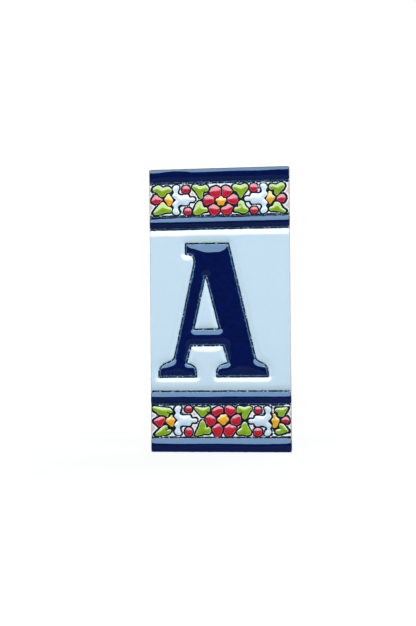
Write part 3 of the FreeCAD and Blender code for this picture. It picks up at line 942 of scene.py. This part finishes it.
def line_material():
    """Dark matt print, one material for the lines and the strokes."""
    found = bpy.data.materials.get("printed_line")
    if found:
        return found
    material, nodes, links, shader = new_material("printed_line")
    colour = colour_node(nodes, "Printed Line", line_group, {})
    links.new(colour.outputs["Color"], shader.inputs["Base Color"])
    shader.inputs["Roughness"].default_value = 0.45
    shader.inputs["Specular IOR Level"].default_value = 0.12
    return material


# Pieces


class BodySettings(bpy.types.PropertyGroup):
    edge_round: bpy.props.FloatProperty(
        name="Edge Round", description="Rounding of the back's edges", default=0.0005, unit="LENGTH")
    waver: bpy.props.FloatProperty(
        name="Side Waver", description="How far the sides leave a plane", default=0.00005, unit="LENGTH")
    groove_soft: bpy.props.FloatProperty(
        name="Groove Softness", description="Width of a groove's sloping side",
        default=0.0005, unit="LENGTH")


class PrintSettings(bpy.types.PropertyGroup):
    thickness: bpy.props.FloatProperty(
        name="Thickness", description="Height of the print over the clay", default=0.00005, unit="LENGTH")
    stroke: bpy.props.FloatProperty(
        name="Stroke Width", description="Width of the free strokes", default=0.00042, unit="LENGTH")
    waver: bpy.props.FloatProperty(
        name="Waver", description="How far a line's edge leaves its outline",
        default=0.00007, unit="LENGTH")
    spread: bpy.props.FloatProperty(
        name="Spread", description="How far the lines bleed into the bare clay",
        default=0.00014, unit="LENGTH")


class GlazeSettings(bpy.types.PropertyGroup):
    overrun: bpy.props.FloatProperty(
        name="Overrun", description="How far bars and panel run over the chamfer",
        default=0.00036, unit="LENGTH")
    corner: bpy.props.FloatProperty(
        name="Corner Softness", description="Length over which outline corners round", default=0.00012,
        unit="LENGTH")
    waver: bpy.props.FloatProperty(
        name="Waver", description="How far a pool's foot leaves its outline",
        default=0.00006, unit="LENGTH")
    swell: bpy.props.FloatProperty(
        name="Swell", description="Share by which the glaze height changes", default=0.03)
    roll_change: bpy.props.FloatProperty(
        name="Edge Change", description="Share by which the edge's roll changes", default=0.15)
    run_on: bpy.props.FloatProperty(
        name="Run On", description="How far the dome runs on past the tile's edge",
        default=0.0016, unit="LENGTH")
    rim_round: bpy.props.FloatProperty(
        name="Rim Round", description="Rounding where the glaze ends at the tile's edge", default=0.0004,
        unit="LENGTH")


def colour_property(name, description, default):
    return bpy.props.FloatVectorProperty(
        name=name, description=description, default=default, size=3, subtype="COLOR", min=0, max=1)


class EnamelSettings(bpy.types.PropertyGroup):
    navy_enamel: colour_property("Navy", "Bars and letter", (0.0002, 0.004, 0.062))
    navy_enamel_thin: colour_property("Navy, Thin", "Navy at its edge", (0.06, 0.17, 0.33))
    pale_blue_enamel: colour_property("Pale Blue", "Panel behind the letter", (0.59, 0.725, 0.84))
    # Paler panel edge: partly thin glaze, partly painted light that lifts the shade where the dome falls
    # away from the key
    pale_blue_enamel_thin: colour_property("Pale Blue, Thin", "Panel at its edge", (0.635, 0.775, 0.89))
    white_blue_enamel: colour_property("White Blue", "Blossoms of the borders", (0.65, 0.765, 0.905))
    white_blue_enamel_thin: colour_property("White Blue, Thin", "Blossoms' edge", (0.78, 0.86, 0.92))
    red_enamel: colour_property("Red", "Petals, berries and buds", (0.60, 0.005, 0.026))
    red_enamel_thin: colour_property("Red, Thin", "Red at its edge", (0.78, 0.14, 0.20))
    green_enamel: colour_property("Green", "Leaves", (0.25, 0.44, 0.002))
    green_enamel_thin: colour_property("Green, Thin", "Leaves' edge", (0.52, 0.66, 0.30))
    yellow_enamel: colour_property("Yellow", "Flower centres and small flowers", (0.95, 0.42, 0.002))
    yellow_enamel_thin: colour_property("Yellow, Thin", "Yellow at its edge", (0.95, 0.60, 0.15))


class StageSettings(bpy.types.PropertyGroup):
    yaw: bpy.props.FloatProperty(
        name="Yaw", description="Camera's angle to the right",
        default=math.radians(6.677), subtype="ANGLE")
    pitch: bpy.props.FloatProperty(
        name="Pitch", description="Camera's angle above level",
        default=math.radians(-0.383), subtype="ANGLE")
    roll: bpy.props.FloatProperty(
        name="Roll", description="Camera's turn about its axis",
        default=math.radians(-0.47), subtype="ANGLE")
    field_of_view: bpy.props.FloatProperty(
        name="Field of View", description="Angle over the picture's height", default=math.radians(35),
        subtype="ANGLE")
    distance: bpy.props.FloatProperty(
        name="Distance", description="From the camera to its target", default=0.38551, unit="LENGTH")
    target_x: bpy.props.FloatProperty(
        name="Target X", description="Target to the right of the middle",
        default=-0.016893, unit="LENGTH")
    target_z: bpy.props.FloatProperty(
        name="Target Z", description="Target above the middle", default=-0.013145, unit="LENGTH")
    shift_x: bpy.props.FloatProperty(
        name="Shift X", description="Lens shift to the right, as a share of the frame", default=0.05)
    shift_z: bpy.props.FloatProperty(
        name="Shift Z", description="Lens shift upwards, as a share of the frame", default=0.05)
    key_power: bpy.props.FloatProperty(
        name="Key Radiance", description="Brightness of the soft box", default=3.3)
    fill_power: bpy.props.FloatProperty(
        name="Fill Radiance", description="Brightness of the frontal fill", default=2.9)
    back_power: bpy.props.FloatProperty(
        name="Back Radiance", description="Brightness of the lamp behind the tile", default=4.0)
    world_level: bpy.props.FloatProperty(
        name="World Level", description="Brightness of the surroundings", default=0.04)


class PLAQUE_OT_body(bpy.types.Operator):
    """Build the clay body with its keying grooves"""
    bl_idname = "plaque.body"
    bl_label = "Clay Body"

    def execute(self, context):
        obj = clay_body(context.scene.plaque_body)
        obj.data.materials.append(clay_material("fired_clay"))
        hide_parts("tile_body")
        return {"FINISHED"}


class PLAQUE_OT_bars(bpy.types.Operator):
    """Pour the four navy bars"""
    bl_idname = "plaque.bars"
    bl_label = "Navy Bars"

    def execute(self, context):
        glaze_pool("navy_bars", "navy_bars_pool", context.scene.plaque_glaze)
        return {"FINISHED"}


class PLAQUE_OT_panel_enamel(bpy.types.Operator):
    """Pour the pale blue panel round the letter"""
    bl_idname = "plaque.panel_enamel"
    bl_label = "Blue Panel"

    def execute(self, context):
        glaze_pool("panel_enamel", "panel_enamel_pool", context.scene.plaque_glaze)
        return {"FINISHED"}


class PLAQUE_OT_letter(bpy.types.Operator):
    """Pour the navy letter"""
    bl_idname = "plaque.letter"
    bl_label = "Letter"

    def execute(self, context):
        glaze_pool("letter_enamel", "letter_enamel_pool", context.scene.plaque_glaze)
        return {"FINISHED"}


class PLAQUE_OT_border(bpy.types.Operator):
    """Pour the flowers, leaves, berries and blossoms of the borders"""
    bl_idname = "plaque.border"
    bl_label = "Border Pools"

    def execute(self, context):
        for row in BORDER_ENAMELS:
            glaze_pool(row[0], row[0] + "_pool", context.scene.plaque_glaze)
        return {"FINISHED"}


class PLAQUE_OT_print(bpy.types.Operator):
    """Print the dark lines and lay the bare clay of the borders"""
    bl_idname = "plaque.print"
    bl_label = "Printed Lines"

    def execute(self, context):
        lines, ground = print_sheets(context.scene.plaque_print, context.scene.plaque_glaze)
        lines.data.materials.append(line_material())
        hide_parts("outline_print")
        ground.data.materials.append(clay_material("border_clay", "line"))
        return {"FINISHED"}


class PLAQUE_OT_strokes(bpy.types.Operator):
    """Add the free strokes of the borders over the pools and the print"""
    bl_idname = "plaque.strokes"
    bl_label = "Free Strokes"

    def execute(self, context):
        under = [node + "_pool" for node in POURS] + ["line_print", "border_ground"]
        find = surface_finder([bpy.data.objects[name] for name in under])
        width = context.scene.plaque_print.stroke / MM
        add_strokes("stem_strokes", STEMS + SCROLLS, width, find, STROKE_LIFT, line_material())
        slivers = [((x - 0.15, z - 0.35), (x + 0.15, z + 0.35)) for x, z in SLIVERS]
        pale = enamel_material("slivers", "white_blue_enamel", 0.1, 0.2, 0.05)
        add_strokes("scroll_slivers", slivers, SLIVER_WIDTH, find, SLIVER_LIFT, pale)
        return {"FINISHED"}


class PLAQUE_OT_stage(bpy.types.Operator):
    """Set the camera, the lamps and the pale floor and backdrop"""
    bl_idname = "plaque.stage"
    bl_label = "Stage"

    def execute(self, context):
        settings = context.scene.plaque_stage
        add_camera(context, settings)
        add_light(context, settings)
        add_floor(context)
        return {"FINISHED"}


def add_camera(context, settings):
    y_face = face_level()[0] * MM
    yaw, pitch = settings.yaw, settings.pitch
    back = Vector((math.sin(yaw) * math.cos(pitch), -math.cos(yaw) * math.cos(pitch), math.sin(pitch)))
    data = bpy.data.cameras.new("camera")
    data.sensor_fit = "AUTO"
    data.sensor_width = 36
    data.lens = data.sensor_width / 2 / math.tan(settings.field_of_view / 2)
    data.shift_x, data.shift_y = settings.shift_x, settings.shift_z
    camera = bpy.data.objects.new("camera", data)
    context.scene.collection.objects.link(camera)
    right = (-back).cross(Vector((0, 0, 1))).normalized()
    up = right.cross(-back)
    c, s = math.cos(settings.roll), math.sin(settings.roll)
    turned_right = right * c + up * s
    turned_up = up * c - right * s
    place = Vector((settings.target_x, y_face, settings.target_z)) + back * settings.distance
    rotation = Matrix((turned_right, turned_up, back)).transposed()
    camera.matrix_world = Matrix.Translation(place) @ rotation.to_4x4()
    data.clip_start = 0.01
    data.clip_end = 20
    context.scene.camera = camera


def add_soft_box(context, name, radiance):
    """Area lamp aimed at the tile, as LAMPS places it."""
    direction, distance, half_angles = LAMPS[name]
    elevation, azimuth = (math.radians(angle) for angle in direction)
    size_x, size_z = (2 * distance * math.tan(math.radians(angle)) for angle in half_angles)
    data = bpy.data.lights.new(name, "AREA")
    data.shape = "RECTANGLE"
    data.size = size_x
    data.size_y = size_z
    data.color = (0.90, 0.97, 1.0)
    data.energy = radiance * math.pi * size_x * size_z
    lamp = bpy.data.objects.new(name, data)
    context.scene.collection.objects.link(lamp)
    toward = Vector((math.sin(azimuth) * math.cos(elevation), -math.cos(azimuth) * math.cos(elevation),
                     math.sin(elevation)))
    lamp.location = toward * distance
    lamp.rotation_mode = "QUATERNION"
    lamp.rotation_quaternion = toward.to_track_quat("Z", "Y")
    return lamp


def add_light(context, settings):
    add_soft_box(context, "key", settings.key_power)
    fill = add_soft_box(context, "fill", settings.fill_power)
    behind = add_soft_box(context, "behind", settings.back_power)
    for lamp in (fill, behind):
        lamp.visible_glossy = False
        lamp.visible_camera = False
    world = bpy.data.worlds.new("studio")
    world.use_nodes = True
    nodes, links = world.node_tree.nodes, world.node_tree.links
    nodes["Background"].inputs["Color"].default_value = (1, 1, 1, 1)
    path = add_node(nodes, "ShaderNodeLightPath", (-700, 0))
    direct = add_node(nodes, "ShaderNodeMath", (-500, 0), operation="MAXIMUM")
    links.new(path.outputs["Is Camera Ray"], direct.inputs[0])
    links.new(path.outputs["Is Transmission Ray"], direct.inputs[1])
    strength = add_node(nodes, "ShaderNodeMath", (-300, 0),
                        {1: settings.world_level}, operation="MAXIMUM")
    links.new(direct.outputs[0], strength.inputs[0])
    links.new(strength.outputs[0], nodes["Background"].inputs["Strength"])
    context.scene.world = world


def seen_white(name, near_share, mirrored_share):
    """Matt grey that camera and transmission rays see as a white ground.

    Near the object only a share of the white is added, so that its shadow stays, and
    glossy rays get a share too, so that the glaze doesn't lose its depth."""
    material, nodes, links, shader = new_material(name)
    shader.inputs["Base Color"].default_value = (0.1, 0.1, 0.1, 1)
    shader.inputs["Roughness"].default_value = 0.9
    shader.inputs["Specular IOR Level"].default_value = 0
    path = add_node(nodes, "ShaderNodeLightPath", (-900, 300))
    direct = add_node(nodes, "ShaderNodeMath", (-700, 300), operation="MAXIMUM")
    links.new(path.outputs["Is Camera Ray"], direct.inputs[0])
    links.new(path.outputs["Is Transmission Ray"], direct.inputs[1])
    where = add_node(nodes, "ShaderNodeTexCoord", (-900, -100))
    away = add_node(nodes, "ShaderNodeVectorMath", (-700, -100), operation="LENGTH")
    links.new(where.outputs["Object"], away.inputs[0])
    share = add_node(nodes, "ShaderNodeMapRange", (-500, -100),
                     {"From Min": 0.08, "From Max": 0.3, "To Min": near_share, "To Max": 1})
    links.new(away.outputs["Value"], share.inputs["Value"])
    seen = add_node(nodes, "ShaderNodeMath", (-300, 200), operation="MULTIPLY")
    links.new(direct.outputs[0], seen.inputs[0])
    links.new(share.outputs["Result"], seen.inputs[1])
    mirrored = add_node(nodes, "ShaderNodeMath", (-300, 400), {1: mirrored_share}, operation="MULTIPLY")
    links.new(path.outputs["Is Glossy Ray"], mirrored.inputs[0])
    level = add_node(nodes, "ShaderNodeMath", (-120, 300), operation="ADD")
    links.new(seen.outputs[0], level.inputs[0])
    links.new(mirrored.outputs[0], level.inputs[1])
    shader.inputs["Emission Color"].default_value = (1, 1, 1, 1)
    links.new(level.outputs[0], shader.inputs["Emission Strength"])
    return material


def add_floor(context):
    """Floor with its front edge close before the tile, and an upright backdrop."""
    floor_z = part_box("tile_body")[0].z
    reach, top = 3.0, 1.2
    front, behind = 0.35, 0.9
    sheets = {
        "floor": [(-reach, -front, floor_z), (reach, -front, floor_z), (reach, reach, floor_z),
                  (-reach, reach, floor_z)],
        "backdrop": [(-reach, behind, floor_z), (reach, behind, floor_z), (reach, behind, top),
                     (-reach, behind, top)],
    }
    for name, shares in (("floor", (0.88, 0.01)), ("backdrop", (1.0, 1.0))):
        mesh = bpy.data.meshes.new(name)
        mesh.from_pydata(sheets[name], [], [(0, 1, 2, 3)])
        mesh.materials.append(seen_white(name, *shares))
        obj = bpy.data.objects.new(name, mesh)
        context.scene.collection.objects.link(obj)


STEPS = ("body", "bars", "panel_enamel", "letter", "border", "print", "strokes", "stage")


class PLAQUE_PT_panel(bpy.types.Panel):
    """Steps that build the tile"""
    bl_idname = "PLAQUE_PT_panel"
    bl_label = "House Letter Tile"
    bl_space_type = "VIEW_3D"
    bl_region_type = "UI"
    bl_category = "Letter Tile"

    def draw(self, context):
        for step in STEPS:
            self.layout.operator("plaque." + step)


CLASSES = (
    BodySettings, PrintSettings, GlazeSettings, EnamelSettings, StageSettings,
    PLAQUE_OT_body, PLAQUE_OT_bars, PLAQUE_OT_panel_enamel, PLAQUE_OT_letter, PLAQUE_OT_border,
    PLAQUE_OT_print, PLAQUE_OT_strokes, PLAQUE_OT_stage, PLAQUE_PT_panel,
)
GROUPS = (
    ("plaque_body", BodySettings), ("plaque_print", PrintSettings), ("plaque_glaze", GlazeSettings),
    ("plaque_enamel", EnamelSettings), ("plaque_stage", StageSettings),
)


def register():
    for cls in CLASSES:
        bpy.utils.register_class(cls)
    for name, group in GROUPS:
        setattr(bpy.types.Scene, name, bpy.props.PointerProperty(type=group))


def unregister():
    for name, group in GROUPS:
        delattr(bpy.types.Scene, name)
    for cls in reversed(CLASSES):
        bpy.utils.unregister_class(cls)


def main():
    register()
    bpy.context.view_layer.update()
    bpy.ops.plaque.body()
    bpy.ops.plaque.bars()
    bpy.ops.plaque.panel_enamel()
    bpy.ops.plaque.letter()
    bpy.ops.plaque.border()
    bpy.ops.plaque.print()
    bpy.ops.plaque.strokes()
    bpy.ops.plaque.stage()
    bpy.context.scene.view_settings.view_transform = "Standard"
    bpy.context.view_layer.update()


if __name__ == "__main__":
    main()
